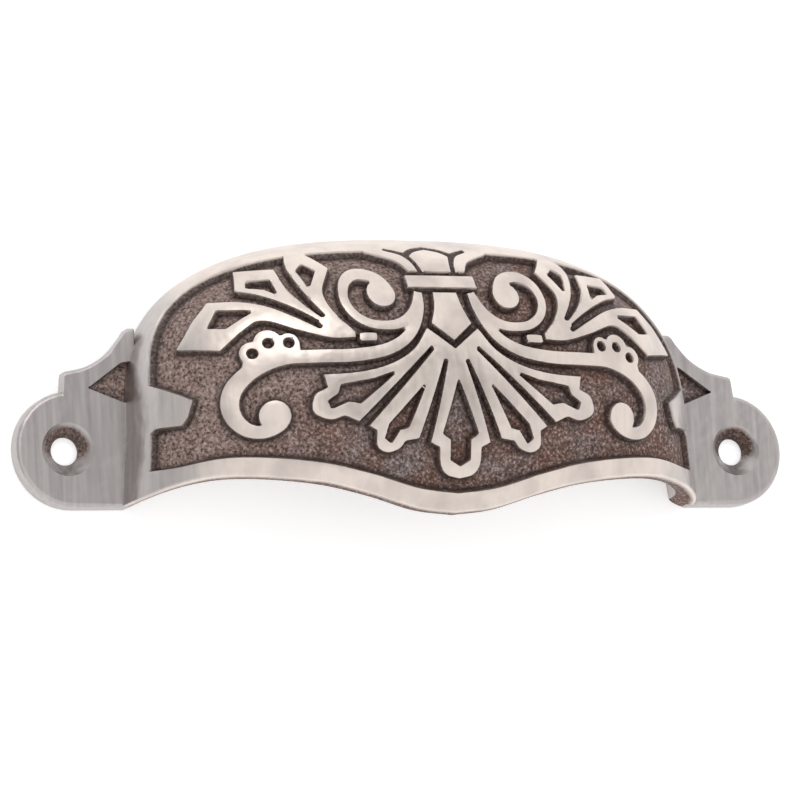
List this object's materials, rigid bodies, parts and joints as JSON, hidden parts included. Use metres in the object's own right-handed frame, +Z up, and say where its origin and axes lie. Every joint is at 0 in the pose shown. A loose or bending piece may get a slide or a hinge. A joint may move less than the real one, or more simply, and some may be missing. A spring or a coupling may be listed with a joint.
{
  "type": "bin pull",
  "caption": "Cast cup pull for a drawer: domed finger hood with raised scroll and palmette ornament between two screw ears, open below and behind.",
  "frame": {"origin": "midway between the two screw holes, on the mounting plane", "axes": "+X along the drawer front, +Y into the drawer front, +Z up"},
  "size_m": [0.1192, 0.0207, 0.042],
  "materials": {
    "cast_metal": "relief, lip and ears ground and polished to a satin grey, sunk ground left rough and oxidised brown"
  },
  "bodies": {
    "root": {"cast_pull": "cast_metal"}
  },
  "joints": []
}
